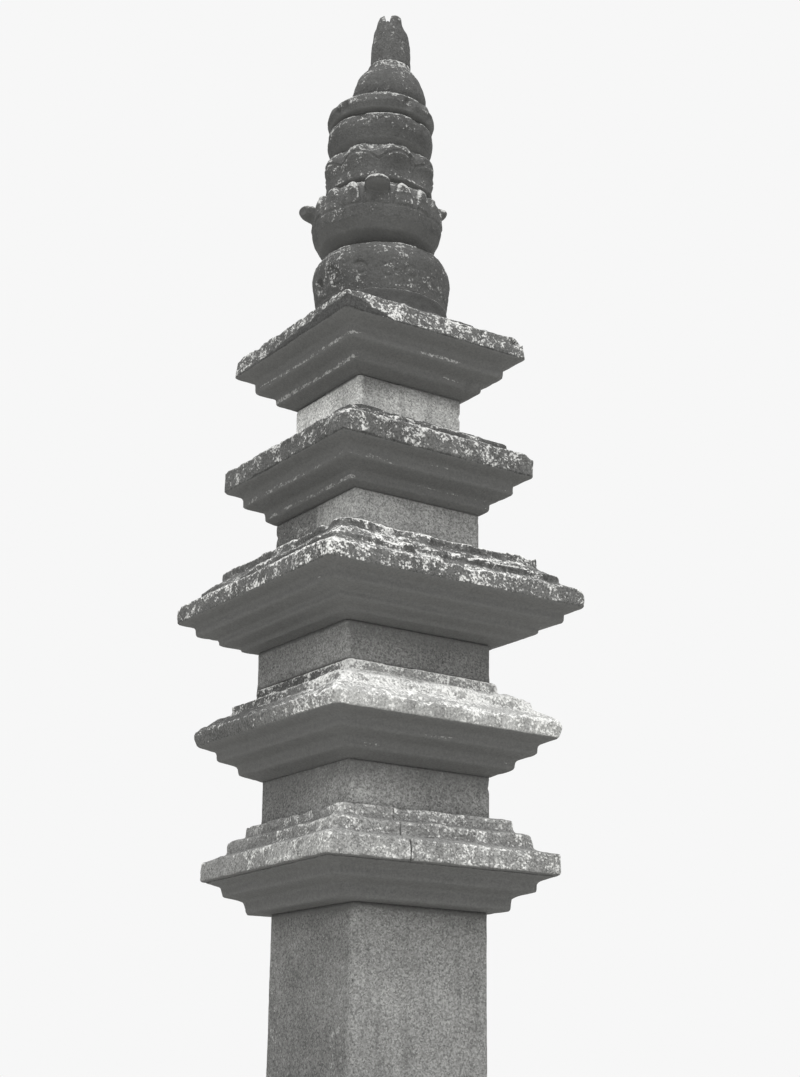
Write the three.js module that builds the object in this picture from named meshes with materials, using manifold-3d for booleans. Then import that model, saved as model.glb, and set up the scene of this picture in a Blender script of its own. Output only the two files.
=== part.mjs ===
// Five-storey stone pagoda with stepped roofs and a stacked stone finial.
// Millimetres, +Z up. The origin is the middle of the foundation's underside.
// The visible right-hand side of the tower faces -Y and the visible left-hand side faces -X.

import * as THREE from 'three';
import { mergeVertices } from 'three/addons/utils/BufferGeometryUtils.js';
import Module from 'manifold-3d';

const wasm = await Module();
wasm.setup();

// Open joint between two stones laid side by side.
const JOINT = 3;
// Worn-off width of each upright corner.
const CORNER_WEAR = 10;
// Relief of the pillars carved on the platform slabs.
const PILLAR_RELIEF = 14;
// Sides of the round finial stones.
const ROUND_SEGMENTS = 48;

// Two-tier platform, from the ground up.
const FOUNDATION = { half: 1070, bottom: 0, top: 140, depth: 430 };
const LOWER_WALL = { half: 930, bottom: 140, top: 500, depth: 180, cornerPillar: 150, midPillar: 130, midAt: [-300, 300] };
const LOWER_CAP = { half: 1000, bottom: 500, edgeTop: 580, slopeTop: 618, support: 690, top: 640 };
const UPPER_WALL = { half: 620, bottom: 640, top: 1370, depth: 170, cornerPillar: 125, midPillar: 115, midAt: [0] };
const UPPER_CAP = { half: 750, bottom: 1370, fillet: 668, filletTop: 1408, edgeTop: 1488, slopeTop: 1520, inner: 520 };
const SILL = { bottom: 1520, lowerHalf: 470, step: 1552, upperHalf: 428, top: 1585 };

// Storey stones: plain square blocks.
const BODIES = [
  { name: 'body_1', half: 382, bottom: 1585, top: 2515, x: 28, y: -16, turn: 0 },
  { name: 'body_2', half: 412, bottom: 2953, top: 3168, x: 6, y: -4, turn: 0 },
  { name: 'body_3', half: 429, bottom: 3639, top: 3835, x: -12, y: 7, turn: 0 },
  { name: 'body_4', half: 384, bottom: 4283, top: 4524, x: -4, y: 2, turn: 0 },
  { name: 'body_5', half: 319, bottom: 4971, top: 5166, x: -8, y: 5, turn: -1 },
];

// Roof stones: half widths and levels of the cornice, the eave and the stepped top, from below.
const ROOF_1 = {
  x: 20, y: -10, turn: -2.6,
  cornice: [[468, 2515], [488, 2522], [488, 2582], [562, 2604], [569, 2610], [569, 2652], [635, 2680]],
  top: [[640, 2680], [648, 2688], [647, 2783], [560, 2808], [553, 2816], [553, 2876], [487, 2888], [482, 2953]],
  parting: -200,
};
const ROOFS = [
  {
    name: 'roof_2', x: 4, y: -2, turn: 0.5,
    profile: [[414, 3168], [496, 3200], [502, 3210], [502, 3246], [576, 3274], [582, 3284], [582, 3322],
      [648, 3350], [658, 3360], [676, 3426], [602, 3484], [566, 3498], [560, 3549], [454, 3588], [444, 3598],
      [442, 3639]],
  },
  {
    name: 'roof_3', x: 6, y: 5, turn: -0.3,
    profile: [[434, 3835], [507, 3850], [511, 3866], [588, 3884], [595, 3892], [595, 3918], [678, 3938],
      [684, 3946], [684, 3986], [751, 4008], [759, 4018], [757, 4105], [680, 4142], [670, 4150], [670, 4183],
      [602, 4226], [591, 4238], [591, 4283]],
  },
  {
    name: 'roof_4', x: -8, y: 3, turn: 0.3,
    profile: [[386, 4524], [422, 4544], [427, 4552], [427, 4592], [508, 4626], [515, 4636], [515, 4684],
      [580, 4712], [588, 4722], [590, 4834], [500, 4872], [492, 4880], [492, 4908], [394, 4936], [384, 4944],
      [384, 4971]],
  },
  {
    name: 'roof_5', x: -10, y: 6, turn: 0,
    profile: [[321, 5166], [392, 5200], [399, 5210], [399, 5242], [474, 5274], [482, 5284], [482, 5336],
      [557, 5372], [566, 5382], [552, 5492], [448, 5528], [438, 5536], [432, 5562], [378, 5580], [372, 5596]],
  },
];
// Round raised seat on the top roof that carries the finial.
const FINIAL_SEAT = { radius: 356, bottom: 5590, top: 5690 };

// Finial stones: radius and level pairs, the count of carved lobes, their depth as a share of the
// radius, the plan angle of a lobe's crest and the share of the height where the lobes are deepest.
// Open lobes keep their depth up to the top edge.
const FINIAL = [
  {
    name: 'finial_bowl', x: 0, y: 0, lobes: 8, depth: 0.035, crest: 22.5, deepest: 0.5,
    profile: [[352, 5690], [362, 5740], [372, 5800], [380, 5870], [372, 5920], [340, 5965], [290, 5985], [262, 5990]],
  },
  {
    name: 'finial_flower', x: -26, y: 17, lobes: 8, depth: 0.05, crest: 0, deepest: 0.5,
    profile: [[228, 5990], [252, 6008], [312, 6058], [348, 6120], [366, 6200], [360, 6265], [338, 6318], [308, 6350]],
  },
  {
    name: 'finial_wheel_1', x: -18, y: 12, lobes: 8, depth: 0.06, crest: 33.5, deepest: 0.6, open: true,
    profile: [[270, 6350], [300, 6372], [298, 6430], [306, 6475], [318, 6520], [312, 6560], [290, 6585], [262, 6590]],
  },
  {
    name: 'finial_wheel_2', x: -16, y: 11, lobes: 0,
    profile: [[240, 6590], [272, 6630], [292, 6690], [297, 6740], [284, 6776], [248, 6790]],
  },
  {
    name: 'finial_wheel_3', x: -14, y: 10, lobes: 0,
    profile: [[250, 6790], [286, 6806], [301, 6850], [290, 6895], [250, 6925], [224, 6930]],
  },
  {
    name: 'finial_ball', x: 20, y: -14, lobes: 0,
    profile: [[196, 6930], [210, 6965], [212, 7005], [200, 7060], [176, 7115], [148, 7155], [124, 7180], [120, 7210]],
  },
];
const SPIRE = {
  x: 26, y: -18, top: 7534,
  profile: [[114, 7210], [113, 7260], [111, 7340], [106, 7430], [98, 7472], [86, 7506], [76, 7524], [68, 7534]],
};
// Large petals standing out at the four quarters of the flower. Only the root is left of the one at
// the right.
const LARGE_PETAL = { reach: 434, level: 6292, radial: 78, across: 74, thick: 42, tilt: 14 };
const BROKEN_PETAL = { ...LARGE_PETAL, reach: 380, level: 6300 };
const LARGE_PETAL_ANGLES = [57, 147, 237, 327];
const BROKEN_PETAL_ANGLE = 327;

const stoneColour = (shade) => new THREE.MeshStandardMaterial({
  color: new THREE.Color(shade, shade, shade * 0.97),
  roughness: 0.95,
  metalness: 0,
});

const pagoda = new THREE.Group();

function place(name, geometry, shade, x = 0, y = 0, turn = 0) {
  const mesh = new THREE.Mesh(geometry, stoneColour(shade));
  mesh.name = name;
  mesh.position.set(x, y, 0);
  mesh.rotation.z = THREE.MathUtils.degToRad(turn);
  pagoda.add(mesh);
}

// Closed mesh with shared vertices and no empty triangles.
function weld(geometry) {
  geometry.deleteAttribute('normal');
  geometry.deleteAttribute('uv');
  return mergeVertices(geometry, 0.01);
}

function toSolid(geometry) {
  const closed = weld(geometry.index ? geometry : mergeVertices(geometry));
  return new wasm.Manifold(new wasm.Mesh({
    numProp: 3,
    vertProperties: new Float32Array(closed.attributes.position.array),
    triVerts: new Uint32Array(closed.index.array),
  }));
}

function toGeometry(solid) {
  const mesh = solid.getMesh();
  const geometry = new THREE.BufferGeometry();
  geometry.setAttribute('position', new THREE.BufferAttribute(new Float32Array(mesh.vertProperties), 3));
  geometry.setIndex(new THREE.BufferAttribute(new Uint32Array(mesh.triVerts), 1));
  return geometry;
}

// Closed profile for a lathe: starts and ends on the axis.
function axisProfile(profile) {
  const first = profile[0][1];
  const last = profile[profile.length - 1][1];
  return [[0, first], ...profile, [0, last]].map(([r, z]) => new THREE.Vector2(r, z));
}

// Round stone about Z. radiusAt scales the radius by angle and level, for lobes and petals.
function roundStone(profile, segments, radiusAt) {
  const geometry = new THREE.LatheGeometry(axisProfile(profile), segments);
  geometry.rotateX(Math.PI / 2);
  const position = geometry.attributes.position;
  for (let i = 0; radiusAt && i < position.count; i += 1) {
    const x = position.getX(i);
    const y = position.getY(i);
    const k = radiusAt(Math.atan2(y, x), position.getZ(i));
    position.setXY(i, x * k, y * k);
  }
  return weld(geometry);
}

// Square stone with stepped sides and worn corners: an eight-sided lathe whose rings are
// laid out again on a square with its corners cut.
function squareStone(profile, wear = CORNER_WEAR) {
  const points = axisProfile(profile);
  const geometry = new THREE.LatheGeometry(points, 8);
  const position = geometry.attributes.position;
  const ring = (h) => {
    const s = h - Math.min(wear, h / 2);
    return [[h, -s], [h, s], [s, h], [-s, h], [-h, s], [-h, -s], [-s, -h], [s, -h], [h, -s]];
  };
  points.forEach((point, j) => {
    ring(point.x).forEach(([x, y], i) => {
      position.setXYZ(i * points.length + j, x, y, point.y);
    });
  });
  return weld(geometry);
}

function block(x0, x1, y0, y1, z0, z1) {
  const geometry = new THREE.BoxGeometry(x1 - x0, y1 - y0, z1 - z0);
  geometry.translate((x0 + x1) / 2, (y0 + y1) / 2, (z0 + z1) / 2);
  return geometry;
}

// A tilted block that knocks a flake off a stone. It lies with its inner face through the given
// point, faces outwards along the given direction, and leans by tilt.
function flake(solid, { x, y, z, facing, tilt = 0, width = 160, height = 90 }) {
  const depth = 200;
  const geometry = new THREE.BoxGeometry(depth, width, height);
  geometry.translate(depth / 2, 0, 0);
  geometry.rotateY(THREE.MathUtils.degToRad(tilt));
  geometry.rotateZ(THREE.MathUtils.degToRad(facing));
  geometry.translate(x, y, z);
  return solid.subtract(toSolid(geometry));
}

// Four stones laid in a ring: front and back run the full width, left and right fit between them.
function ringStones(prefix, whole, half, depth, shade) {
  const z0 = -10;
  const z1 = 8000;
  const reach = half + 50;
  const inner = half - depth;
  const cuts = {
    front: block(-reach, reach, -reach, -inner, z0, z1),
    back: block(-reach, reach, inner, reach, z0, z1),
    left: block(-reach, -inner, -inner + JOINT, inner - JOINT, z0, z1),
    right: block(inner, reach, -inner + JOINT, inner - JOINT, z0, z1),
  };
  Object.entries(cuts).forEach(([side, cut], i) => {
    const stone = toSolid(whole).intersect(toSolid(cut));
    place(`${prefix}_${side}`, toGeometry(stone), shade + 0.02 * (i % 3));
  });
}

// Platform wall slab seen from above, with its pillars in relief, extruded upwards.
function wallPanel(wall, isEnd) {
  const field = wall.half - PILLAR_RELIEF;
  const outline = new THREE.Shape();
  const end = isEnd ? wall.half : wall.half - wall.depth - JOINT;
  outline.moveTo(-end, -wall.half + wall.depth);
  if (isEnd) {
    outline.lineTo(-end, -wall.half);
    outline.lineTo(-end + wall.cornerPillar, -wall.half);
    outline.lineTo(-end + wall.cornerPillar, -field);
  } else {
    outline.lineTo(-end, -field);
  }
  wall.midAt.forEach((x) => {
    const w = wall.midPillar / 2;
    outline.lineTo(x - w, -field);
    outline.lineTo(x - w, -wall.half);
    outline.lineTo(x + w, -wall.half);
    outline.lineTo(x + w, -field);
  });
  if (isEnd) {
    outline.lineTo(end - wall.cornerPillar, -field);
    outline.lineTo(end - wall.cornerPillar, -wall.half);
    outline.lineTo(end, -wall.half);
  } else {
    outline.lineTo(end, -field);
  }
  outline.lineTo(end, -wall.half + wall.depth);
  outline.closePath();
  const geometry = new THREE.ExtrudeGeometry(outline, { depth: wall.top - wall.bottom, bevelEnabled: false });
  geometry.translate(0, 0, wall.bottom);
  return weld(geometry);
}

function wallSlabs(prefix, wall, shade) {
  place(`${prefix}_front`, wallPanel(wall, true), shade);
  place(`${prefix}_back`, wallPanel(wall, true), shade + 0.02, 0, 0, 180);
  place(`${prefix}_left`, wallPanel(wall, false), shade + 0.03, 0, 0, -90);
  place(`${prefix}_right`, wallPanel(wall, false), shade + 0.01, 0, 0, 90);
}

// Foundation slabs and the packed core inside them and the lower wall.
const foundation = block(-FOUNDATION.half, FOUNDATION.half, -FOUNDATION.half, FOUNDATION.half, FOUNDATION.bottom, FOUNDATION.top);
ringStones('foundation', foundation, FOUNDATION.half, FOUNDATION.depth, 0.52);
const foundationInner = FOUNDATION.half - FOUNDATION.depth - JOINT;
const lowerInner = LOWER_WALL.half - LOWER_WALL.depth - JOINT;
place('lower_core', squareStone([
  [foundationInner, FOUNDATION.bottom],
  [foundationInner, FOUNDATION.top],
  [lowerInner, FOUNDATION.top],
  [lowerInner, LOWER_WALL.top],
]), 0.45);

// Lower platform wall and its four cap slabs around the upper core's foot.
wallSlabs('lower_wall', LOWER_WALL, 0.54);
const lowerCap = squareStone([
  [LOWER_CAP.half, LOWER_CAP.bottom],
  [LOWER_CAP.half, LOWER_CAP.edgeTop],
  [LOWER_CAP.support + 12, LOWER_CAP.slopeTop],
  [LOWER_CAP.support, LOWER_CAP.top],
]);
const capDepth = LOWER_CAP.half - UPPER_WALL.half + UPPER_WALL.depth;
ringStones('lower_cap', lowerCap, LOWER_CAP.half, capDepth, 0.56);

// Upper platform wall, its core, the two cap slabs and the sill of the first storey.
wallSlabs('upper_wall', UPPER_WALL, 0.55);
const upperInner = UPPER_WALL.half - UPPER_WALL.depth - JOINT;
place('upper_core', squareStone([[upperInner, LOWER_CAP.bottom], [upperInner, UPPER_WALL.top]]), 0.45);
const upperCap = squareStone([
  [UPPER_CAP.fillet, UPPER_CAP.bottom],
  [UPPER_CAP.fillet, UPPER_CAP.filletTop],
  [UPPER_CAP.half, UPPER_CAP.filletTop],
  [UPPER_CAP.half, UPPER_CAP.edgeTop],
  [UPPER_CAP.inner, UPPER_CAP.slopeTop],
]);
const capReach = UPPER_CAP.half + 50;
const capHalves = { left: [-capReach, -JOINT / 2], right: [JOINT / 2, capReach] };
Object.entries(capHalves).forEach(([side, [x0, x1]]) => {
  const cut = block(x0, x1, -capReach, capReach, UPPER_CAP.bottom - 10, UPPER_CAP.slopeTop + 10);
  place(`upper_cap_${side}`, toGeometry(toSolid(upperCap).intersect(toSolid(cut))), 0.57);
});
place('storey_sill', squareStone([
  [SILL.lowerHalf, SILL.bottom],
  [SILL.lowerHalf, SILL.step],
  [SILL.upperHalf, SILL.step],
  [SILL.upperHalf, SILL.top],
]), 0.55);

// Storey stones.
BODIES.forEach(({ name, half, bottom, top, x, y, turn }, i) => {
  place(name, squareStone([[half, bottom], [half, top]], 8), 0.6 + 0.02 * i, x, y, turn);
});

// First roof: a cornice stone carrying two eave stones, parted off the middle.
place('roof_1_cornice', squareStone(ROOF_1.cornice), 0.5, ROOF_1.x, ROOF_1.y, ROOF_1.turn);
const roofReach = 800;
const roofHalves = {
  left: [-roofReach, ROOF_1.parting - JOINT / 2],
  right: [ROOF_1.parting + JOINT / 2, roofReach],
};
Object.entries(roofHalves).forEach(([side, [x0, x1]]) => {
  const cut = block(x0, x1, -roofReach, roofReach, 2600, 3000);
  const stone = toSolid(squareStone(ROOF_1.top)).intersect(toSolid(cut));
  place(`roof_1_eave_${side}`, toGeometry(stone), 0.62, ROOF_1.x, ROOF_1.y, ROOF_1.turn);
});

// Flakes lost from the roofs' edges and corners.
const FLAKES = {
  roof_2: [
    { x: -640, y: -640, z: 3352, facing: -135, tilt: 35, width: 220, height: 60 },
    { x: -525, y: -545, z: 3552, facing: -120, tilt: -30, width: 150, height: 60 },
    { x: -672, y: 560, z: 3432, facing: 170, tilt: -35, width: 190, height: 60 },
    { x: -518, y: 518, z: 3554, facing: 135, tilt: 12, width: 280, height: 112 },
  ],
  roof_3: [
    { x: -724, y: 724, z: 4110, facing: 135, tilt: -40, width: 200, height: 80 },
    { x: 744, y: -724, z: 4108, facing: -45, tilt: -42, width: 170, height: 70 },
    { x: -648, y: 300, z: 4190, facing: 180, tilt: -38, width: 260, height: 60 },
  ],
  roof_4: [
    { x: -556, y: -560, z: 4836, facing: -135, tilt: -35, width: 200, height: 80 },
    { x: 566, y: -560, z: 4832, facing: -45, tilt: -40, width: 150, height: 60 },
  ],
  roof_5: [
    { x: -524, y: 524, z: 5500, facing: 135, tilt: -45, width: 180, height: 80 },
    { x: 526, y: -528, z: 5496, facing: -45, tilt: -38, width: 160, height: 70 },
  ],
};
ROOFS.forEach(({ name, profile, x, y, turn }) => {
  let stone = FLAKES[name].reduce(flake, toSolid(squareStone(profile)));
  if (name === 'roof_5') {
    const { radius, bottom, top } = FINIAL_SEAT;
    const seat = roundStone([[radius, bottom], [radius, top]], ROUND_SEGMENTS);
    seat.translate(-x, -y, 0);
    stone = stone.add(toSolid(seat));
  }
  place(name, toGeometry(stone), 0.62, x, y, turn);
});

// Round finial stones with their carved lobes.
function lobed({ profile, lobes, depth, crest, deepest, open }) {
  if (!lobes) return roundStone(profile, ROUND_SEGMENTS);
  const z0 = profile[0][1];
  const z1 = profile[profile.length - 1][1];
  const turn = THREE.MathUtils.degToRad(crest);
  return roundStone(profile, ROUND_SEGMENTS, (angle, z) => {
    const level = (z - z0) / (z1 - z0);
    const share = level < deepest ? level / deepest : (1 - level) / (1 - deepest);
    const fade = open && level > deepest ? 1 : Math.sin(Math.PI / 2 * share);
    const wave = Math.abs(Math.cos((angle - turn) * lobes / 2));
    return 1 - depth * fade * (1 - wave);
  });
}
FINIAL.filter(({ name }) => name !== 'finial_flower').forEach((stone) => {
  place(stone.name, lobed(stone), 0.42, stone.x, stone.y);
});

// The flower carries four large petals; each is a flattened ball, tilted up, joined to its rim.
const flower = FINIAL.find(({ name }) => name === 'finial_flower');
let flowerSolid = toSolid(lobed(flower));
LARGE_PETAL_ANGLES.forEach((angle) => {
  const { reach, level, radial, across, thick, tilt } = angle === BROKEN_PETAL_ANGLE ? BROKEN_PETAL : LARGE_PETAL;
  const petal = new THREE.SphereGeometry(1, 14, 8);
  petal.scale(radial, across, thick);
  petal.rotateY(-THREE.MathUtils.degToRad(tilt));
  petal.translate(reach - radial, 0, level);
  petal.rotateZ(THREE.MathUtils.degToRad(angle));
  flowerSolid = flowerSolid.add(toSolid(petal));
});
place(flower.name, toGeometry(flowerSolid), 0.42, flower.x, flower.y);

// Spire, broken off with a ragged top.
let spire = toSolid(roundStone(SPIRE.profile, 20));
[
  { x: -82, y: -90, z: SPIRE.top + 20, facing: 56, width: 24, height: 90 },
  { x: 44, y: -30, z: SPIRE.top + 26, facing: -34, tilt: 50, width: 200, height: 90 },
].forEach((cut) => {
  spire = flake(spire, cut);
});
place('finial_spire', toGeometry(spire), 0.42, SPIRE.x, SPIRE.y);

export default pagoda;
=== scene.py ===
# Looks of the five-storey stone pagoda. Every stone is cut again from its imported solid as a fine
# mesh, its arrises are worn and chipped, and procedural granite, stains and lichen cover it.
# Lengths are in metres. The front corner is the one where x and y are lowest. Left of it lies the
# face towards -x, right of it the face towards -y.
import math
from dataclasses import dataclass

import bmesh
import bpy
import numpy as np
from mathutils import Matrix, Vector
from mathutils.bvhtree import BVHTree


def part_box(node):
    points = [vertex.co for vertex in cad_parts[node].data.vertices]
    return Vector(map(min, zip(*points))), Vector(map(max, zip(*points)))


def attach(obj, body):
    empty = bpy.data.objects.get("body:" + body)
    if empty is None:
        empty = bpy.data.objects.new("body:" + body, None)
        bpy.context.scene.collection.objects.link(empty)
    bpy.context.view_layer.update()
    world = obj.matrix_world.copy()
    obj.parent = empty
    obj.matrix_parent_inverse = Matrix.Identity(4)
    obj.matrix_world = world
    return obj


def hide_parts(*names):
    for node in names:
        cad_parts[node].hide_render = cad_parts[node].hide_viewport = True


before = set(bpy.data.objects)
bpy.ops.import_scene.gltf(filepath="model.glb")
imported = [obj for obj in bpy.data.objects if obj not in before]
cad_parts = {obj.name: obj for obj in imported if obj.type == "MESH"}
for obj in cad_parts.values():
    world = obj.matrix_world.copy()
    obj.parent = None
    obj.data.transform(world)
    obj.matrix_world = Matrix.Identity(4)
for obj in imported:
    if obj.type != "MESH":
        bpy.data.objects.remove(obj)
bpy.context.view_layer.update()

BODY = "root"

# How each family of stones is cut and worn. Voxel is the fine mesh's cell. Wear is the share of the
# rounding that a sheltered and an open arris gets, ruin the share where an arris is worn away.
# Relief is the depth of broad, middle and fine unevenness. As many flakes as chips says, with radii
# within chip, are knocked off the arrises. Flake is the depth of the layers that tops have lost.
STONES = {
    "foundation": dict(
        voxel=0.026, wear=(0.5, 0.9), ruin=0.5, relief=(0.004, 0.003, 0.002),
        chips=14, chip=(0.04, 0.12), flake=0.0,
    ),
    "wall": dict(
        voxel=0.022, wear=(0.4, 0.7), ruin=0.3, relief=(0.002, 0.002, 0.0012),
        chips=8, chip=(0.03, 0.08), flake=0.0,
    ),
    "cap": dict(
        voxel=0.022, wear=(0.4, 0.8), ruin=0.5, relief=(0.004, 0.003, 0.002),
        chips=14, chip=(0.04, 0.12), flake=0.0,
    ),
    "body": dict(
        voxel=0.014, wear=(0.1, 0.2), ruin=0.0, relief=(0.0012, 0.001, 0.001),
        chips=3, chip=(0.015, 0.03), flake=0.0,
    ),
    "slab": dict(
        voxel=0.0098, wear=(0.05, 0.25), ruin=0.2, relief=(0.002, 0.002, 0.003),
        chips=16, chip=(0.02, 0.05), flake=0.003,
    ),
    "roof": dict(
        voxel=0.0098, wear=(0.05, 0.32), ruin=0.3, relief=(0.003, 0.003, 0.0045),
        chips=40, chip=(0.02, 0.055), flake=0.007,
    ),
    "finial": dict(
        voxel=0.0075, wear=(0.15, 0.3), ruin=0.15, relief=(0.004, 0.003, 0.0025),
        chips=12, chip=(0.02, 0.05), flake=0.0,
    ),
    "spire": dict(
        voxel=0.006, wear=(0.05, 0.1), ruin=0.0, relief=(0.002, 0.002, 0.002),
        chips=4, chip=(0.015, 0.03), flake=0.0,
    ),
}

# The word in a node's name that tells its family. The first word that fits counts.
FAMILY_WORDS = (
    ("foundation", "foundation"),
    ("wall", "wall"),
    ("cap", "cap"),
    ("sill", "cap"),
    ("body", "body"),
    ("roof_1", "slab"),
    ("roof", "roof"),
    ("spire", "spire"),
    ("finial", "finial"),
)


# Noise and steps

# Large numbers that scramble a cell's place and a seed into a random number.
CELL_SCRAMBLE = (73856093, 19349663, 83492791)
SEED_SCRAMBLE = 2654435761
LAST_SCRAMBLE = 1274126177
LOW_BITS = 0xFFFF


def cell_value(cells, seed):
    """A fixed random number from 0 to 1 for every whole-number cell."""
    mixed = np.bitwise_xor.reduce(cells * CELL_SCRAMBLE, axis=1) ^ seed * SEED_SCRAMBLE
    mixed = (mixed ^ mixed >> 13) * LAST_SCRAMBLE
    return ((mixed ^ mixed >> 16) & LOW_BITS) / LOW_BITS


def noise(points, size, seed):
    """Smooth noise from -1 to 1 with bumps about size across."""
    scaled = points / size
    corner = np.floor(scaled).astype(np.int64)
    part = scaled - corner
    part = part * part * (3 - 2 * part)
    total = np.zeros(len(points))
    for step in np.ndindex(2, 2, 2):
        weight = np.prod(np.where(step, part, 1 - part), axis=1)
        total += weight * cell_value(corner + step, seed)
    return total * 2 - 1


def rising(values, start, width):
    """0 up to start, 1 from a width further on, and straight between."""
    return np.clip((values - start) / width, 0, 1)


def ridge(values, middle, half):
    """1 at the middle, 0 from half a ridge's width away, and straight between."""
    return np.clip(1 - np.abs(values - middle) / half, 0, 1)


# Mesh arrays

def read(collection, key, width, kind=np.float64):
    """A mesh property as an array with one row per element."""
    values = np.empty(len(collection) * width, kind)
    collection.foreach_get(key, values)
    return values.reshape(-1, width)


def write_points(mesh, points):
    mesh.vertices.foreach_set("co", points.astype(np.float32).ravel())
    mesh.update()


def neighbour_sums(values, edges):
    """For each point, the sum of its neighbours' values."""
    total = np.bincount(edges[:, 0], values[edges[:, 1]], len(values))
    return total + np.bincount(edges[:, 1], values[edges[:, 0]], len(values))


def smoothed(points, edges, rounds):
    """The points after each has moved to its neighbours' middle, rounds times."""
    count = np.bincount(edges.ravel(), minlength=len(points))[:, None]
    for _ in range(rounds):
        sums = [neighbour_sums(points[:, axis], edges) for axis in range(3)]
        points = np.stack(sums, axis=1) / count
    return points


def averaged(values, edges, rounds):
    """One value per point, blurred over the mesh."""
    count = np.bincount(edges.ravel(), minlength=len(values)) + 1
    for _ in range(rounds):
        values = (values + neighbour_sums(values, edges)) / count
    return values


def remeshed(node, voxel):
    """A fine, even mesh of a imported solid."""
    copy = bpy.data.objects.new(f"{node}_copy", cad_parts[node].data)
    bpy.context.scene.collection.objects.link(copy)
    remesh = copy.modifiers.new("even", "REMESH")
    remesh.mode = "VOXEL"
    remesh.voxel_size = voxel
    remesh.use_smooth_shade = True
    graph = bpy.context.evaluated_depsgraph_get()
    mesh = bpy.data.meshes.new_from_object(copy.evaluated_get(graph))
    bpy.data.objects.remove(copy)
    return mesh


def thinned(mesh):
    """Merges the level bearing faces, which no one sees, into few large ones."""
    work = bmesh.new()
    work.from_mesh(mesh)
    bmesh.ops.dissolve_limit(work, angle_limit=math.radians(0.05), verts=work.verts, edges=work.edges)
    work.to_mesh(mesh)
    work.free()


# Shelter

# Rings of rays over the upper half space: elevation in degrees, number of rays, and the first
# ray's turn as a share of the step between two rays.
SKY_RINGS = ((10, 8, 0.0), (30, 8, 0.5), (52, 6, 0.0), (75, 3, 0.5))

# How far a ray looks for another stone, and how far off the surface it starts.
SKY_REACH = 3.0
SKIN = 0.015

# How far behind an upright face the ray down to its lower arris runs, and how long it is.
FOOT_INSET = 0.014
FOOT_REACH = 1.0

# The gap below which two stones touch, and the distance from another stone at which wear is free.
TOUCHING = 0.004
WEAR_REACH = 0.03


def search_tree(nodes):
    """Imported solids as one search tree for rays."""
    corners, faces = [], []
    for node in nodes:
        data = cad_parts[node].data
        data.calc_loop_triangles()
        start = len(corners)
        corners += [vertex.co for vertex in data.vertices]
        faces += [[start + i for i in face.vertices] for face in data.loop_triangles]
    return BVHTree.FromPolygons(corners, faces)


def sky_rays():
    """Directions spread over the upper half space, the same on every run."""
    rays = []
    for elevation, count, turn in SKY_RINGS:
        level = math.cos(math.radians(elevation))
        rise = math.sin(math.radians(elevation))
        for k in range(count):
            angle = math.tau * (k + turn) / count
            rays.append(Vector((level * math.cos(angle), level * math.sin(angle), rise)))
    return rays


TOWER = search_tree(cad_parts)
SKY_RAYS = sky_rays()
FULL_SKY = sum(ray.z for ray in SKY_RAYS)
DOWN = Vector((0, 0, -1))


def sky_at(place, normal):
    """The share of the sky's light that reaches a place, from 0 to 1."""
    start = place + normal * SKIN
    seen = 0.0
    for ray in SKY_RAYS:
        facing = ray.dot(normal)
        if facing > 0 and TOWER.ray_cast(start, ray, SKY_REACH)[0] is None:
            seen += facing
    return seen / FULL_SKY


def foot_at(place, normal, stone):
    """How far a place on an upright face lies above the face's lower arris."""
    start = place - Vector((normal.x, normal.y, 0)) * FOOT_INSET
    distance = stone.ray_cast(start, DOWN, FOOT_REACH)[3]
    return 0.0 if distance is None else distance


def clearance(node, points):
    """How free each point is to wear: 0 beside another stone, about 1 well away from all others."""
    others = search_tree(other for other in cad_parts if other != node)
    free = np.ones(len(points))
    for index, point in enumerate(points):
        distance = others.find_nearest(Vector(point), WEAR_REACH)[3]
        if distance is not None:
            free[index] = max(0.0, distance - TOUCHING) / WEAR_REACH
    return free


def shelter(node, points, outward, edges, hidden):
    """Sky share and height above the lower arris for each point. Points that lie close together and
    face alike get one value, which is then blurred."""
    cell, facings = 0.018, 1.5
    stone = search_tree([node])
    keys = np.round(np.hstack((points / cell, outward * facings))).astype(np.int64)
    _, first, group = np.unique(keys, axis=0, return_index=True, return_inverse=True)
    sky = np.zeros(len(first))
    foot = np.zeros(len(first))
    for k in np.flatnonzero(~hidden[first]):
        place = Vector(points[first[k]])
        normal = Vector(outward[first[k]])
        sky[k] = sky_at(place, normal)
        foot[k] = foot_at(place, normal, stone)
    group = group.ravel()
    return averaged(sky[group], edges, 2), averaged(foot[group], edges, 1)


# Carving of the finial

# The flower's box is lopsided, because one large petal is broken off.
FLOWER_AXIS = (-0.026, 0.017)

# The level direction that points to the right in the photograph.
SCREEN_RIGHT = (0.829, -0.559)

# The spire's broken top from the camera: distance right of the axis, height above the spire's foot.
SPIRE_CREST = (
    (-0.11, 0.17), (-0.102, 0.18), (-0.098, 0.235), (-0.084, 0.264),
    (-0.074, 0.31), (-0.066, 0.33), (-0.036, 0.33), (-0.028, 0.28),
    (-0.008, 0.276), (0.001, 0.32), (0.034, 0.32), (0.058, 0.298),
    (0.063, 0.25), (0.088, 0.226), (0.1, 0.2), (0.106, 0.17),
)


def axis_of(node):
    """Where the upright axis through the middle of a packed stone's box stands."""
    low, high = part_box(node)
    return (low.x + high.x) / 2, (low.y + high.y) / 2


def polar(points, centre):
    """Radius, angle and outward direction of each point round an upright axis."""
    offset = points[:, :2] - centre
    radius = np.linalg.norm(offset, axis=1) + 1e-9
    out = np.zeros_like(points)
    out[:, :2] = offset / radius[:, None]
    return radius, np.arctan2(offset[:, 1], offset[:, 0]), out


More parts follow.
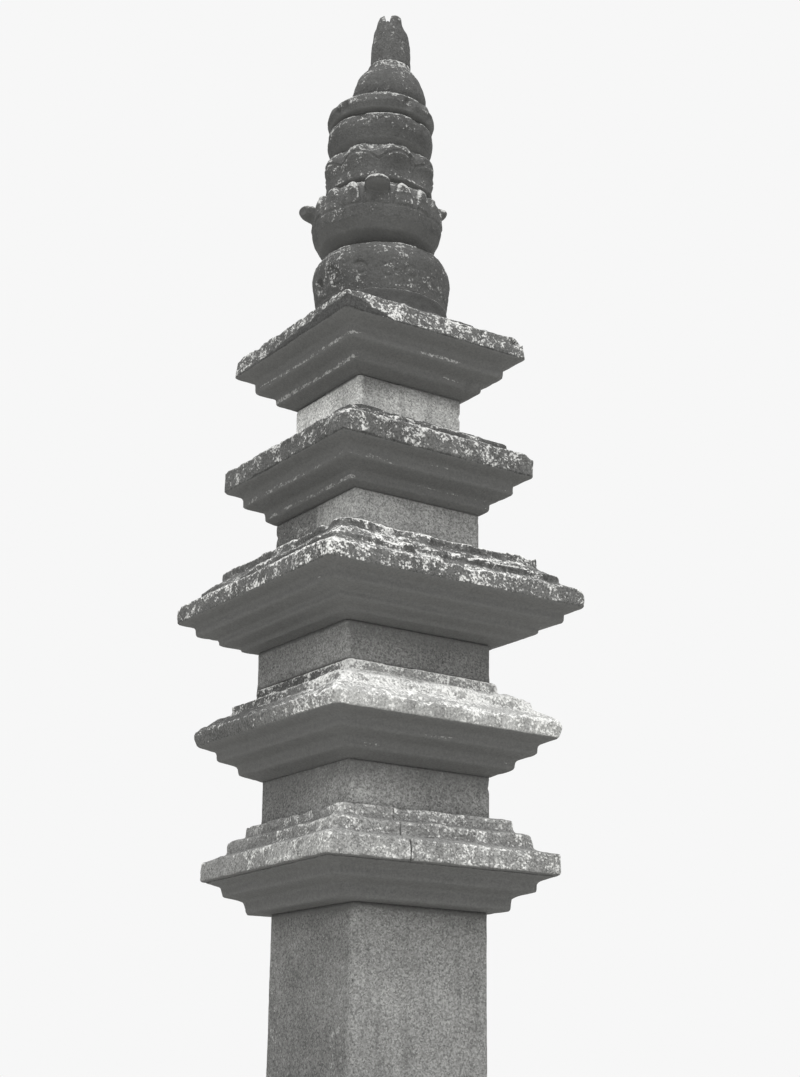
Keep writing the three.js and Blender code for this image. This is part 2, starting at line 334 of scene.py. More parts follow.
def petalled(points):
    """Petals round the upper half of the flower: three small ones between each two large ones."""
    radius, angle, out = polar(points, FLOWER_AXIS)
    level = points[:, 2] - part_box("finial_flower")[0].z
    gap_foot, petal_foot, petal_tip = 0.05, 0.195, 0.355
    girth, carved_radius, blend = 0.36, 0.385, 0.014
    curl, cut, line = 0.014, 0.024, 0.006
    quarter, first_large, large_half, small_half = 90, 57, 13.5, 10.5
    turned = np.abs((np.degrees(angle) - first_large + quarter / 2) % quarter - quarter / 2)
    halfway = np.where(turned < quarter / 2 - small_half, large_half + small_half, quarter / 2)
    middle = np.where(turned < large_half, 0, halfway)
    width = np.radians(np.where(middle == 0, large_half, small_half)) * girth
    across = np.radians(np.abs(turned - middle)) * girth
    up = (level - petal_foot) / (petal_tip - petal_foot)
    half = width * np.sqrt(1 - np.clip(up, 0, 1) ** 2)
    gap = rising(across - half, -1.1 * blend, blend)
    gap_depth = cut * gap * rising(level, gap_foot, 0.03) * np.where(up < 0, 0.15, 0.9)
    curl_height = curl * rising(up, 0.4, 0.4) * (1 - gap)
    line_depth = line * ridge(level, petal_foot, 0.01)
    push = (curl_height - np.maximum(gap_depth, line_depth)) * rising(-radius, -carved_radius, 0.01)
    return points + out * push[:, None]


def scalloped(points):
    """Eight arches round the rim of the lowest wheel, with a groove along them."""
    _, angle, out = polar(points, axis_of("finial_wheel_1"))
    level = points[:, 2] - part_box("finial_wheel_1")[0].z
    arches, first_arch = 8, math.radians(11)
    scallop, groove, sag = 0.016, 0.009, 0.02
    dip = 1 - np.abs(np.sin((angle - first_arch) * arches / 2))
    scallop_depth = scallop * dip ** 2 * rising(level, 0.03, 0.1)
    groove_depth = groove * ridge(level, 0.18 - 0.03 * dip, 0.01)
    carved = points - out * (scallop_depth + groove_depth)[:, None]
    carved[:, 2] -= sag * dip * rising(level, 0.1, 0.1)
    return carved


def whorled(points):
    """Worn curls in low relief round the bowl and a groove under its rim."""
    _, angle, out = polar(points, axis_of("finial_bowl"))
    level = points[:, 2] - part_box("finial_bowl")[0].z
    curls, first_curl, girth = 16, math.radians(6.5), 0.375
    curl_level, groove_level = 0.1, 0.225
    curl, groove = 0.013, 0.004
    eye, coil = 0.012, 0.036
    pitch = math.tau / curls
    turn = (angle + first_curl) / pitch + 0.5
    across = (turn % 1 - 0.5) * pitch * girth
    rise = level - curl_level - 0.012 * noise(points, 0.2, seed=6)
    spiral = eye + coil * ((np.arctan2(rise, across) / math.tau + 0.4 * np.floor(turn)) % 1)
    curl_depth = curl * ridge(np.hypot(across, rise), spiral, 0.01)
    groove_depth = groove * ridge(level, groove_level, 0.012)
    worn = np.clip(0.8 + noise(points, 0.15, seed=7), 0.4, 1)
    return points - out * ((curl_depth + groove_depth) * worn)[:, None]


def ragged(points):
    """The spire's broken top: two prongs with a notch between them and a lower shoulder."""
    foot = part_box("finial_spire")[0].z
    start = foot + 0.15
    side = (points[:, :2] - axis_of("finial_spire")) @ SCREEN_RIGHT
    places, heights = zip(*SPIRE_CREST)
    ceiling = foot + np.interp(side, places, heights)
    ceiling += 0.008 * noise(points * (1, 1, 0), 0.03, seed=5)
    bin_width, reach = 0.006, 0.12
    place = np.clip(np.round((side + reach) / bin_width), 0, 2 * reach / bin_width).astype(int)
    crest = np.full(place.max() + 1, start + 0.02)
    np.maximum.at(crest, place, points[:, 2])
    top = np.interp(side, np.arange(len(crest)) * bin_width - reach, crest)
    carved = points.copy()
    over = points[:, 2] > start
    share = (points[over, 2] - start) / (top[over] - start)
    carved[over, 2] = start + share * (ceiling[over] - start)
    return carved


CARVED = {
    "finial_bowl": whorled,
    "finial_flower": petalled,
    "finial_wheel_1": scalloped,
    "finial_spire": ragged,
}


# Wear

# How close the levels of two stones are when one bears on the other, and how far inside the
# other's footprint a bearing face starts.
LEVEL_MATCH = 0.002
BEARING_MARGIN = 0.012

# How far a full arris stands out over the smoothed stone, in voxels, and how deep a full carving is.
FULL_ARRIS = 0.45
FULL_CARVING = 0.02

# How large the bumps of broad, middle and fine unevenness are.
RELIEF_SIZES = (0.24, 0.075, 0.03)


def seats(node):
    """Levels and footprints where other stones lie on or under this one."""
    low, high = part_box(node)
    found = []
    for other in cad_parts:
        if other == node:
            continue
        other_low, other_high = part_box(other)
        if abs(other_low.z - high.z) < LEVEL_MATCH:
            found.append((high.z, other_low, other_high))
        if abs(other_high.z - low.z) < LEVEL_MATCH:
            found.append((low.z, other_low, other_high))
    return found


def seated(points, node, voxel):
    """Marks the points on bearing faces, which stay flat, and gives their levels."""
    on_seat = np.zeros(len(points), bool)
    level = points[:, 2].copy()
    for height, low, high in seats(node):
        inside = np.abs(points[:, 2] - height) < voxel * 0.5
        for axis in range(2):
            inside &= points[:, axis] > low[axis] + BEARING_MARGIN
            inside &= points[:, axis] < high[axis] - BEARING_MARGIN
        on_seat |= inside
        level[inside] = height
    return on_seat, level


def chip(points, inward, arris, random, count, size):
    """Knocks flat flakes off the arrises."""
    sharp, steepest, tilt = 0.55, 0.35, 0.25
    shallow, deep, border_slope = 0.12, 0.3, 3
    places = np.flatnonzero((arris > sharp) & (inward[:, 2] < steepest))
    if not len(places):
        return points
    for index in random.choice(places, count):
        radius = random.uniform(*size)
        direction = inward[index] + random.normal(0, tilt, 3)
        direction /= np.linalg.norm(direction)
        depth = radius * random.uniform(shallow, deep)
        offset = points - points[index]
        reach = np.linalg.norm(offset, axis=1) / radius
        above = np.clip(depth - offset @ direction, 0, None)
        share = np.clip((1 - reach) * border_slope, 0, 1)
        points = points + direction * (above * share)[:, None]
    return points


class Stone:
    """The fine mesh that stands for a packed stone: its shape, worn, chipped and roughened."""

    def __init__(self, node, family, seed):
        self.node = node
        self.seed = seed
        self.rule = STONES[family]
        self.mesh = remeshed(node, self.rule["voxel"])
        self.edges = read(self.mesh.edges, "vertices", 2, np.int32)
        self.surface = read(self.mesh.vertices, "co", 3)
        self.free = clearance(node, self.surface)
        self.on_seat, self.seat_level = seated(self.surface, node, self.rule["voxel"])
        self.points = CARVED[node](self.surface) if node in CARVED else self.surface
        write_points(self.mesh, self.points)
        self.outward = read(self.mesh.vertex_normals, "vector", 3)
        self.openness = np.clip(0.5 + self.outward[:, 2], 0, 1)
        self.soft = smoothed(self.points, self.edges, 8)
        self.rise = self.beyond(self.points, self.soft) / self.rule["voxel"]
        self.arris = np.clip(self.rise / FULL_ARRIS, 0, 1)

    def beyond(self, points, others):
        """How far each point lies outside its counterpart."""
        return ((points - others) * self.outward).sum(axis=1)

    def bumps(self, size, offset):
        """Noise over the stone. Each offset gives another pattern."""
        return noise(self.points, size, self.seed + offset)

    def worn(self):
        """The points after wear, ruin and chips have taken the arrises down."""
        sheltered, exposed = self.rule["wear"]
        corner_fill = 0.25
        wear = sheltered + (exposed - sheltered) * self.openness
        wear += (0.1 + 0.2 * self.openness) * self.bumps(0.16, offset=0)
        wear = np.clip(wear, 0, 1) * np.where(self.rise > 0, 1, corner_fill)
        ruin = np.clip((self.bumps(0.32, offset=1) - 0.3) * 3, 0, 1) * self.openness * (self.rise > 0)
        inward = self.soft - self.points
        worn = self.points + inward * (wear * self.free)[:, None]
        ruined = smoothed(self.soft, self.edges, 30)
        worn += (ruined - worn) * (self.rule["ruin"] * ruin * self.free)[:, None]
        inward /= np.linalg.norm(inward, axis=1, keepdims=True) + 1e-9
        random = np.random.default_rng(self.seed)
        return chip(worn, inward, self.arris * self.free, random, self.rule["chips"], self.rule["chip"])

    def lift(self):
        """How far unevenness and lost layers move each point outward."""
        lift = np.zeros(len(self.points))
        for offset, (size, depth) in enumerate(zip(RELIEF_SIZES, self.rule["relief"]), start=2):
            lift += depth * self.bumps(size, offset)
        flattened = self.points * (1, 1, 5)
        layers = np.clip(noise(flattened, 0.14, self.seed + 5) * 8, 0, 1)
        upward = np.clip(self.outward[:, 2] * 3 - 0.6, 0, 1)
        lift -= self.rule["flake"] * layers * upward
        roughness = 0.35 + 0.65 * self.openness
        middle_depth = self.rule["relief"][1]
        return (lift * roughness - 0.5 * middle_depth) * self.free

    def measures(self):
        """What the material reads at each point."""
        carved = np.clip(self.beyond(self.surface, self.points) / FULL_CARVING, 0, 1)
        # Hollows, carved grooves among them, get painted shade together with dirt in the material.
        hollow = np.maximum(np.clip(-self.rise / FULL_ARRIS, 0, 1), carved)
        sky, foot = shelter(self.node, self.surface, self.outward, self.edges, self.on_seat)
        return {"arris": self.arris, "hollow": hollow, "sky": sky, "foot": foot}

    def finished(self):
        """The finished mesh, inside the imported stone's box."""
        points = self.worn() + self.outward * self.lift()[:, None]
        points[self.on_seat, 2] = self.seat_level[self.on_seat]
        low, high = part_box(self.node)
        write_points(self.mesh, np.clip(points, low, high))
        for key, values in self.measures().items():
            attribute = self.mesh.attributes.new(key, "FLOAT", "POINT")
            attribute.data.foreach_set("value", values.astype(np.float32))
        thinned(self.mesh)
        return self.mesh


# Material nodes

class Shade:
    """One material's nodes. Every call adds a node and returns its output."""

    def __init__(self, name):
        self.material = bpy.data.materials.new(name)
        self.material.use_nodes = True
        self.tree = self.material.node_tree
        self.tree.nodes.clear()
        self.place = self.node("ShaderNodeTexCoord", output="Object")

    def node(self, kind, inputs=None, output=0, **settings):
        made = self.tree.nodes.new(kind)
        for key, value in settings.items():
            setattr(made, key, value)
        for key, value in (inputs or {}).items():
            if isinstance(value, bpy.types.NodeSocket):
                self.tree.links.new(value, made.inputs[key])
            else:
                made.inputs[key].default_value = value
        return made.outputs[output] if made.outputs else None

    def parts(self, vector, axes):
        """The values of a vector along the named axes."""
        return [self.node("ShaderNodeSeparateXYZ", {"Vector": vector}, output=axis) for axis in axes]

    def maths(self, operation, first, *others):
        """The operation over all values, from left to right."""
        total = first
        for value in others or (0.0,):
            total = self.node("ShaderNodeMath", {0: total, 1: value}, operation=operation)
        return total

    def times(self, *values):
        return self.maths("MULTIPLY", *values)

    def plus(self, *values):
        return self.maths("ADD", *values)

    def minus(self, first, second):
        return self.maths("SUBTRACT", first, second)

    def most(self, *values):
        return self.maths("MAXIMUM", *values)

    def size_of(self, value):
        """The value without its sign."""
        return self.maths("ABSOLUTE", value)

    def scaled(self, value, *shares):
        """The value with a share of itself added: all shares multiplied together."""
        return self.times(value, self.plus(1.0, self.times(*shares)))

    def ramp(self, value, start, end, low=0.0, high=1.0):
        """Smooth step from low at start to high at end."""
        inputs = {"Value": value, "From Min": start, "From Max": end, "To Min": low, "To Max": high}
        return self.node("ShaderNodeMapRange", inputs, interpolation_type="SMOOTHSTEP")

    def mix(self, share, first, second):
        return self.node("ShaderNodeMix", {"Factor": share, "A": first, "B": second})

    def noise(self, size, detail=4.0, roughness=0.6, stretch=(1, 1, 1), shift=0.0):
        """Noise from 0 to 1 with bumps about size metres across."""
        mapping = {"Vector": self.place, "Location": (shift, shift, shift), "Scale": stretch}
        vector = self.node("ShaderNodeMapping", mapping)
        inputs = {"Vector": vector, "Scale": 1 / size, "Detail": detail, "Roughness": roughness}
        return self.node("ShaderNodeTexNoise", inputs)

    def crystals(self, size):
        """A random grey from 0 to 1 for each crystal."""
        inputs = {"Vector": self.place, "Scale": 1 / size}
        colour = self.node("ShaderNodeTexVoronoi", inputs, output="Color")
        return self.node("ShaderNodeSeparateColor", {"Color": colour})

    def attribute(self, name):
        return self.node("ShaderNodeAttribute", output="Fac", attribute_name=name)

    def finish(self, tone, roughness, height, depth):
        """Plain stone surface from a grey tone, a roughness and a bump height."""
        warmth, bump_strength, gloss = 0.975, 0.9, 0.25
        blue = self.times(tone, warmth)
        colour = self.node("ShaderNodeCombineColor", {"Red": tone, "Green": tone, "Blue": blue})
        bump_inputs = {"Height": height, "Distance": depth, "Strength": bump_strength}
        bump = self.node("ShaderNodeBump", bump_inputs)
        inputs = {"Base Color": colour, "Roughness": roughness, "Normal": bump}
        inputs["Specular IOR Level"] = gloss
        surface = self.node("ShaderNodeBsdfPrincipled", inputs)
        self.node("ShaderNodeOutputMaterial", {"Surface": surface})
        return self.material


def rubble(name):
    """Packed rubble and earth in the platform's core."""
    s = Shade(name)
    soil = s.noise(0.03, 5.0, 0.7)
    tone = s.times(s.plus(s.crystals(0.06), soil), 0.2)
    return s.finish(tone, roughness=0.95, height=soil, depth=0.02)


# Granite

@dataclass
class Look:
    """What one granite looks like. Unless its comment says more, a pair holds a value left and one
    right of the front corner. Heights are above the foot of the stones that have the look."""

    # Where the noise starts, so that no two looks share their spots.
    shift: float
    # The clean stone's greys.
    sides: tuple
    # The share that lichen covers, the size of its patches and its grey.
    lichen: tuple
    patch: float
    pale: float
    # The grey of the dark tone, which paints shade together with stain.
    dark: float = 0.14
    # How strong the grain is.
    grainy: float = 1.0
    # How much more lichen the tops, the upper arrises and the front corner have. On the upper arrises it
    # also stands for a painted highlight.
    crown: float = 0.25
    rim_crust_and_highlight: float = 0.0
    nose: float = 0.0
    # The height above which there is more lichen, and how much.
    crust: tuple = None
    # What the clean tone and the lichen lose from the front corner to the faces' far ends.
    fade: tuple = (0.0, 0.0)
    # How light the stone is near the front and back corners, as a factor.
    front: float = 1.0
    # How much darker the left face is beyond a distance from the front corner, and that distance.
    dim: tuple = None
    # The sky shares at which the painted shade, together with stain, starts and is full.
    shade: tuple = (0.22, 0.06)
    # The height of a roof's lower arris. All below it is painted dark, for shade together with stain,
    # apart from pale painted highlights along as long a share of the steps as the next value says.
    eave: float = None
    painted_step_highlights: tuple = (0.0, 0.0)
    # The stone's half width, from which distances to the front corner are measured.
    half: float = 0.0
    # The dark band's height above each lower arris, and how far along the two faces it stands
    # higher towards the front corner.
    dark_band_height: float = 0.0
    wedge: tuple = None
    # The height above which the steps' upright faces are darker, how much on the left and on the
    # right face, and how patchily.
    riser: tuple = None
    # The height above which upright faces are painted dark, for the shade under the finial.
    lid: float = None
    # How far down the painted shade below the overhang reaches, together with stain, and its strength
    # left and right.
    under: tuple = None


class Granite(Shade):
    """Weathered granite: clean stone, a dark tone that paints shade together with stain, and lichen,
    mixed as a look says. Foot and top are the levels between which the look's stones lie."""

    # What wide patches, clumps, fine spots and single crystals each add to the lichen's cover.
    PATCH_SHARE = 0.24
    CLUMP_SHARE = 0.28
    SPOT_SHARE = 0.2
    CRYSTAL_SHARE = 0.28

    def __init__(self, name, look, foot, top):
        super().__init__(name)
        self.look = look
        self.foot = foot
        self.top = top
        x, y, self.z = self.parts(self.place, "XYZ")
        self.east, self.up = self.parts(self.node("ShaderNodeNewGeometry", output="Normal"), "XZ")
        self.upright = self.ramp(self.size_of(self.up), 0.75, 0.35)
        self.diagonal = self.size_of(self.plus(x, y))
        self.along = self.minus(2 * look.half, self.diagonal)
        self.wavy = self.spots(0.09, offset=5, roughness=0.65)
        self.mottle = self.spots(0.1, offset=41, roughness=0.65, stretch=(1, 1, 0.6))
        leftward = self.plus(self.minus(y, x), self.times(self.wavy, 0.1), -0.05)
        self.left = self.ramp(leftward, -0.02, 0.02)
        self.flecks = self.crystals(0.009)
        self.fine = self.spots(0.013, offset=0, detail=3.0, roughness=0.7)
        self.grain = self.plus(
            self.times(self.fine, 1.2 * look.grainy),
            self.times(self.crystals(0.007), 0.6 * look.grainy),
            1 - 0.9 * look.grainy,
        )

    def spots(self, size, offset, detail=4.0, roughness=0.6, stretch=(1, 1, 1)):
        """Noise that no other look has at the same places."""
        return self.noise(size, detail, roughness, stretch, self.look.shift + offset)

    def full_spots(self, size, offset, detail=4.0, roughness=0.6):
        """Spots with more contrast, from a full 0 to a full 1."""
        return self.ramp(self.spots(size, offset, detail, roughness), 0.34, 0.66)

    def either(self, left, right):
        """One value left of the front corner and another right of it."""
        return self.mix(self.left, right, left)

    def above(self, height, blend):
        """1 above a height over the foot, with a soft change."""
        return self.ramp(self.z, self.foot + height, self.foot + height + blend)

    def clean(self):
        """The tone of bare stone."""
        look = self.look
        blotch = self.ramp(self.spots(0.4, offset=7, detail=5.0), 0.3, 0.7, 0.8, 1.2)
        near_corner = self.ramp(self.plus(self.diagonal, self.times(blotch, -0.25)), 0.08, 0.38)
        tone = self.times(self.either(*look.sides), blotch)
        tone = self.scaled(tone, near_corner, look.front - 1.0)
        if any(look.fade):
            left, right = look.fade
            tone = self.scaled(tone, self.ramp(self.along, 0.1, 0.9), self.either(-2 * left, -2 * right))
        if look.dim is not None:
            loss, start = look.dim
            distance = self.plus(self.along, self.times(self.wavy, 0.12), -0.06)
            leftward_face = self.ramp(self.east, -0.4, -0.6)
            tone = self.scaled(tone, self.ramp(distance, start, start + 0.04), leftward_face, -loss)
        return self.times(tone, self.grain)

    def lidded(self):
        """The upright faces above the lid's height, where shade under the finial is painted."""
        return self.times(self.above(self.look.lid, 0.01), self.ramp(self.up, 0.8, 0.5))

    def sheltered(self):
        """Painted shade together with stain: darker where little sky reaches, below a roof's eave, on
        the lidded faces and below the overhang above a storey.
        """
        look = self.look
        # Painted shade from the sky share, which is low where other stones hide the sky, together with
        # stain.
        sheltered = self.ramp(self.attribute("sky"), *look.shade)
        # Painted shade below the eave's lower arris, together with stain: the whole underside is dark.
        if look.eave is not None:
            eave = self.foot + look.eave
            level = self.plus(self.z, self.times(self.wavy, 0.01))
            sheltered = self.most(sheltered, self.ramp(level, eave + 0.009, eave + 0.003))
        # Painted shade on the upright faces under the finial.
        if look.lid is not None:
            sheltered = self.most(sheltered, self.lidded())
        if look.under is not None:
            # Painted shade below the overhang above a storey, together with stain, darkest at the top.
            reach, left, right = look.under
            strength = self.times(self.either(left, right), self.ramp(self.mottle, 0.3, 0.7, 0.8, 1.1))
            level = self.plus(self.z, self.times(self.wavy, 0.5 * reach), -0.25 * reach)
            overhang_shade = self.times(self.ramp(level, self.top - reach, self.top), strength)
            sheltered = self.most(sheltered, overhang_shade)
        return sheltered

    def low_dark_band(self, sheltered):
        """The dark band along the lower arrises, and the dark upright faces of the steps."""
        look = self.look
        height = look.dark_band_height
        if look.wedge is not None:
            left, right = [self.ramp(self.along, length, 0.0, 0.0, 0.07) for length in look.wedge]
            height = self.plus(height, self.either(left, right))
        foot = self.plus(self.attribute("foot"), self.times(self.wavy, -0.05), 0.025)
        open_face = self.scaled(self.upright, sheltered, -1.0)
        low = self.times(self.ramp(self.minus(foot, height), 0.006, -0.006), open_face)
        if look.riser is not None:
            level, left, right, patchy = look.riser
            fringe = self.times(self.spots(0.025, offset=43, detail=3.0, roughness=0.7), 0.8)
            patches = self.ramp(self.plus(self.mottle, fringe, -0.4), 0.42, 0.56)
            patches = self.times(patches, self.ramp(self.along, 0.1, 0.4, 0.3, 1.0), patchy)
            strength = self.times(self.either(left, right), self.plus(patches, 1 - patchy))
            low = self.most(low, self.times(self.above(level, 0.01), self.upright, strength))
        return low

    def shade_and_stain_tone(self, sheltered, low):
        """The dark tone, which paints shade together with stain. Its grain is fainter where it is
        sheltered.
        """
        contrast = self.plus(0.8, self.times(sheltered, -0.55))
        tone = self.plus(self.times(self.plus(self.grain, -1.0), contrast), 1.0)
        tone = self.scaled(self.times(tone, self.look.dark), low, -0.6)
        # Painted shade: the lidded faces are darker still.
        if self.look.lid is not None:
            tone = self.scaled(tone, self.lidded(), -0.5)
        return tone

    def shade_and_dirt_share(self, sheltered, low):
        """The share of the dark tone: painted shade and stain from shelter, the low dark bands, streaks
        down the faces, and painted shade together with dirt in hollows.
        """
        streak = self.ramp(self.spots(0.075, offset=3, stretch=(1, 1, 0.14)), 0.5, 0.7, 0.0, 0.45)
        streak = self.times(streak, self.upright)
        # Painted shade together with dirt in hollows, creases and carved grooves.
        hollow = self.times(self.attribute("hollow"), 0.65)
        return self.most(sheltered, self.times(low, 0.95), streak, hollow)

    def painted_step_highlights(self):
        """Painted highlights: pale bands in the lichen's tone, broken, along the sheltered steps."""
        left, right = [0.62 - 0.3 * share for share in self.look.painted_step_highlights]
        run = self.spots(0.05, offset=37, stretch=(0.13, 0.13, 0.8))
        run = self.ramp(self.minus(run, self.either(left, right)), 0.0, 0.14)
        return self.times(run, self.ramp(self.attribute("foot"), 0.045, 0.02), self.upright, 0.9)

    def cover(self, cluster, sheltered, low):
        """How well lichen grows. It shows where this is above about 0.7."""
        look = self.look
        layers = self.spots(0.05, offset=29, detail=3.0, roughness=0.55, stretch=(0.3, 0.3, 2.6))
        layers = self.ramp(layers, 0.38, 0.62)
        top = self.ramp(self.up, 0.3, 0.75)
        clumps = self.mix(self.times(top, 0.6), cluster, layers)
        cover = self.plus(
            self.times(self.full_spots(look.patch, offset=11), self.PATCH_SHARE),
            self.times(clumps, self.CLUMP_SHARE),
            self.times(self.full_spots(0.012, offset=23, detail=2.0), self.SPOT_SHARE),
            self.times(self.flecks, self.CRYSTAL_SHARE),
        )
        # Painted highlight together with lichen crust on the upward-facing arrises.
        upper_arris_crust_and_highlight = self.times(self.attribute("arris"), self.ramp(self.up, -0.2, 0.3), look.rim_crust_and_highlight)
        cover = self.plus(cover, self.times(top, 0.6 * look.crown), upper_arris_crust_and_highlight)
        # Painted highlights on the steps take back part of what the shelter takes from the lichen.
        step_highlight = self.painted_step_highlights() if any(look.painted_step_highlights) else 0.0
        cover = self.plus(cover, self.times(sheltered, self.plus(-0.75, step_highlight)), self.times(low, -0.36))
        left, right = look.lichen
        cover = self.plus(cover, self.either(0.6 * left, 0.6 * right))
        if any(look.fade):
            left, right = look.fade
            loss = self.either(-left, -right)
            cover = self.plus(cover, self.times(self.ramp(self.along, 0.25, 0.85), loss))
        if look.nose:
            cover = self.plus(cover, self.ramp(self.along, 0.4, 0.0, 0.0, look.nose))
        if look.crust is not None:
            height, more = look.crust
            cover = self.plus(cover, self.times(self.above(height - 0.02, 0.04), more))
        return cover

    def surface(self):
        sheltered = self.sheltered()
        low = self.low_dark_band(sheltered)
        # Painted shade and stain: the dark tone takes over where the share of shade and dirt is high.
        ground = self.mix(self.shade_and_dirt_share(sheltered, low), self.clean(), self.shade_and_stain_tone(sheltered, low))
        cluster = self.full_spots(0.05, offset=17, detail=3.0, roughness=0.65)
        cover = self.cover(cluster, sheltered, low)
        growth = self.ramp(cover, 0.68, 0.84)
        thickness = self.ramp(cover, 0.7, 1.05, 0.6, 1.25)
        lichen = self.times(thickness, self.ramp(self.flecks, 0.0, 1.0, 0.75, 1.2), self.look.pale)
        # Painted shade together with stain: lichen is darker where it is sheltered.
        lichen = self.scaled(lichen, sheltered, -0.45)
        tone = self.mix(growth, ground, lichen)
        roughness = self.ramp(self.grain, 0.5, 1.5, 0.97, 0.82)
        bump = self.plus(self.times(self.fine, 0.5), self.times(self.flecks, 0.15))
        bump = self.plus(bump, self.times(cluster, 0.2), self.times(growth, 0.2))
        return self.finish(tone, roughness, bump, depth=0.006)


BODY_LOOK = dict(patch=0.3, grainy=1.3, shade=(0.3, 0.1))
SHAFT_LOOK = dict(dark=0.11, crown=0.1, rim_crust_and_highlight=0.2)

LOOKS = {
    "roof_1": Look(
        shift=1, sides=(0.34, 0.28), pale=0.58, lichen=(0.32, 0.26), crown=-0.3, patch=0.25,
        grainy=1.3, eave=0.169, half=0.64, fade=(0.15, 0.0), rim_crust_and_highlight=0.15,
    ),
    "roof_2": Look(
        shift=2, sides=(0.28, 0.44), pale=0.62, lichen=(0.34, 0.4), crown=0.1, patch=0.2,
        eave=0.188, half=0.67, painted_step_highlights=(0.0, 0.3), fade=(0.3, 0.0), riser=(0.407, 0.0, 0.45, 0.0),
        crust=(0.312, 0.22), rim_crust_and_highlight=0.2,
    ),
    "roof_3": Look(
        shift=3, sides=(0.11, 0.13), pale=0.6, lichen=(0.17, 0.25), crown=0.1, patch=0.14,
        dark_band_height=0.006, eave=0.179, half=0.758, painted_step_highlights=(0.3, 0.0), riser=(0.295, 0.7, 0.8, 1.0),
        rim_crust_and_highlight=0.2, nose=0.1,
    ),
    "roof_4": Look(
        shift=4, sides=(0.1, 0.11), pale=0.48, lichen=(0.16, 0.26), crown=0.2, patch=0.1,
        dark_band_height=0.016, eave=0.194, half=0.59, painted_step_highlights=(1.0, 0.5), riser=(0.336, 0.8, 0.8, 1.0), rim_crust_and_highlight=0.1,
    ),
    "roof_5": Look(
        shift=5, sides=(0.1, 0.11), pale=0.52, lichen=(0.26, 0.42), crown=0.1, patch=0.16,
        dark_band_height=0.014, eave=0.212, half=0.56, painted_step_highlights=(0.85, 0.55), wedge=(1.0, 0.3), lid=0.384,
    ),
    "body_1": Look(
        shift=6, sides=(0.18, 0.26), pale=0.3, lichen=(0.1, 0.1), front=1.1,
        under=(0.14, 0.6, 0.6), **BODY_LOOK,
    ),
    "body_2": Look(
        shift=7, sides=(0.21, 0.25), pale=0.3, lichen=(0.1, 0.1), front=1.2,
        under=(0.18, 0.9, 0.9), **BODY_LOOK,
    ),
    "body_3": Look(
        shift=8, sides=(0.215, 0.17), pale=0.3, lichen=(0.05, 0.05), front=1.3,
        under=(0.18, 0.7, 1.0), **BODY_LOOK,
    ),
    "body_4": Look(
        shift=9, sides=(0.3, 0.275), pale=0.36, lichen=(0.1, 0.1), front=1.3,
        half=0.384, under=(0.1, 0.5, 0.5), dim=(0.45, 0.33), **BODY_LOOK,
    ),
    "body_5": Look(
        shift=10, sides=(0.88, 0.5), pale=0.6, lichen=(0.1, 0.1), front=0.75,
        under=(0.13, 0.4, 0.85), **BODY_LOOK,
    ),
    "base": Look(
        shift=11, sides=(0.26, 0.26), pale=0.45, lichen=(0.28, 0.28), crown=0.15, patch=0.2,
    ),
    "finial": Look(
        shift=12, sides=(0.08, 0.08), dark=0.11, pale=0.34, lichen=(-0.02, -0.02), crown=0.2,
        patch=0.14, grainy=0.5, shade=(0.36, 0.2), rim_crust_and_highlight=0.4,
    ),
    "finial_ball": Look(
        shift=14, sides=(0.075, 0.075), pale=0.34, lichen=(-0.08, -0.08), patch=0.14,
        grainy=0.5, crust=(0.17, 0.16), **SHAFT_LOOK,
    ),
    "finial_spire": Look(
        shift=13, sides=(0.072, 0.072), pale=0.28, lichen=(0.02, 0.02), patch=0.1,
        grainy=0.8, **SHAFT_LOOK,
    ),
}


def granite(key):
    """The granite of the stones whose names start with a look's key, or of the whole base."""
    boxes = [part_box(node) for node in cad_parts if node.startswith(key)]
    foot = min((low.z for low, high in boxes), default=0.0)
    top = max((high.z for low, high in boxes), default=0.0)
    return Granite(f"{key}_granite", LOOKS[key], foot, top).surface()


MATERIALS = {key: granite(key) for key in LOOKS}


# Pieces

FIRST_SEED = 100
SEED_STEP = 10
ROOF_KEY = len("roof_1")


def family_of(node):
    for word, family in FAMILY_WORDS:
        if word in node:
            return family
    return None


def material_of(node, family):
    """The stone's own granite, or else its roof's, its family's or the base's."""
    for key in (node, node[:ROOF_KEY], family):
        if key in MATERIALS:
            return MATERIALS[key]
    return MATERIALS["base"]


def make_piece(node, family, seed):
    """The worn stone that takes a packed one's place."""
    mesh = Stone(node, family, seed).finished()
    mesh.materials.clear()
    mesh.materials.append(material_of(node, family))
    piece = bpy.data.objects.new(f"{node}_stone", mesh)
    bpy.context.scene.collection.objects.link(piece)
    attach(piece, BODY)
    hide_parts(node)


def fill_core(node):
    """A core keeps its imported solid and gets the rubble's material."""
    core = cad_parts[node]
    core.data.materials.clear()
    core.data.materials.append(rubble(f"{node}_rubble"))


for number, node in enumerate(sorted(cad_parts)):
    family = family_of(node)
    if family is None:
        fill_core(node)
    else:
        make_piece(node, family, FIRST_SEED + SEED_STEP * number)


# Floor, light and camera

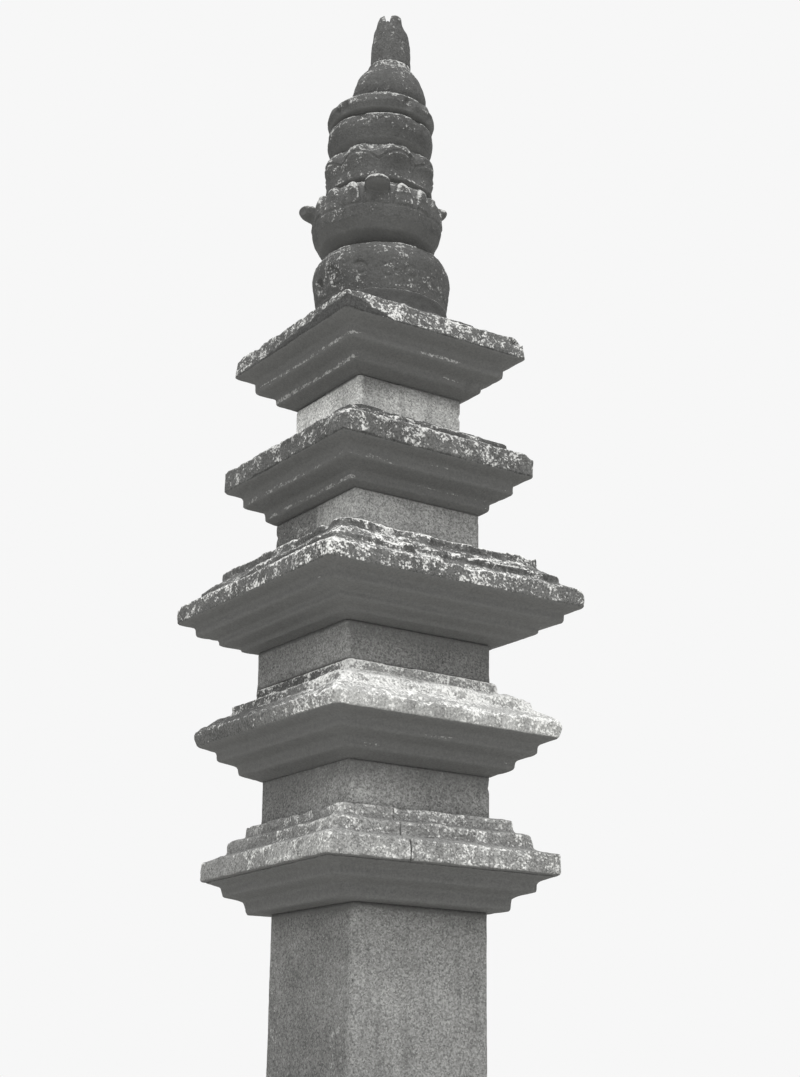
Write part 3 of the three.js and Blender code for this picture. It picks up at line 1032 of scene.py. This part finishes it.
def make_floor():
    half, level = 60.0, -0.002
    mesh = bpy.data.meshes.new("floor")
    corners = [(-half, -half, level), (half, -half, level), (half, half, level), (-half, half, level)]
    mesh.from_pydata(corners, [], [(0, 1, 2, 3)])
    s = Shade("floor_plaster")
    tone = s.ramp(s.noise(2.0), 0.3, 0.7, 0.74, 0.78)
    mesh.materials.append(s.finish(tone, roughness=0.9, height=s.noise(0.05), depth=0.001))
    floor = bpy.data.objects.new("floor", mesh)
    bpy.context.scene.collection.objects.link(floor)


def make_world():
    world = bpy.data.worlds.new("studio")
    world.use_nodes = True
    background = world.node_tree.nodes["Background"]
    background.inputs["Color"].default_value = (0.93, 0.93, 0.93, 1)
    background.inputs["Strength"].default_value = 1.0
    bpy.context.scene.world = world
    bpy.context.scene.view_settings.view_transform = "Standard"


def make_softbox(name, place, target, size, power):
    light = bpy.data.lights.new(name, "AREA")
    light.shape = "DISK"
    light.size = size
    light.energy = power
    lamp = bpy.data.objects.new(name, light)
    lamp.location = place
    lamp.rotation_mode = "QUATERNION"
    lamp.rotation_quaternion = (Vector(target) - Vector(place)).to_track_quat("-Z", "Y")
    bpy.context.scene.collection.objects.link(lamp)


def make_camera():
    """The photograph's viewpoint: at eye height, turned and tilted up towards the tower."""
    yaw, pitch, roll = math.radians(33.999), math.radians(17.988), math.radians(0.7)
    eye_height = 1.55
    distance = 8.871
    sideways = 0.118
    focal_pixels = 1800
    frame_height = 1077
    heading = Vector((math.sin(yaw), math.cos(yaw), 0))
    right = Vector((math.cos(yaw), -math.sin(yaw), 0))
    forward = heading * math.cos(pitch) + Vector((0, 0, math.sin(pitch)))
    above = right.cross(forward)
    rolled_right = right * math.cos(roll) + above * math.sin(roll)
    rolled_above = above * math.cos(roll) - right * math.sin(roll)
    place = -heading * distance + right * sideways + Vector((0, 0, eye_height))
    lens = bpy.data.cameras.new("photograph")
    lens.sensor_fit = "AUTO"
    lens.sensor_width = 36
    lens.lens = lens.sensor_width * focal_pixels / frame_height
    lens.clip_end = 300
    camera = bpy.data.objects.new("photograph", lens)
    axes = Matrix((rolled_right, rolled_above, -forward)).transposed()
    camera.matrix_world = Matrix.Translation(place) @ axes.to_4x4()
    bpy.context.scene.collection.objects.link(camera)
    bpy.context.scene.camera = camera


make_floor()
make_world()
make_softbox("key", place=(-4.0, -6.0, 15.0), target=(0, 0, 4.5), size=9.0, power=1100)
make_camera()
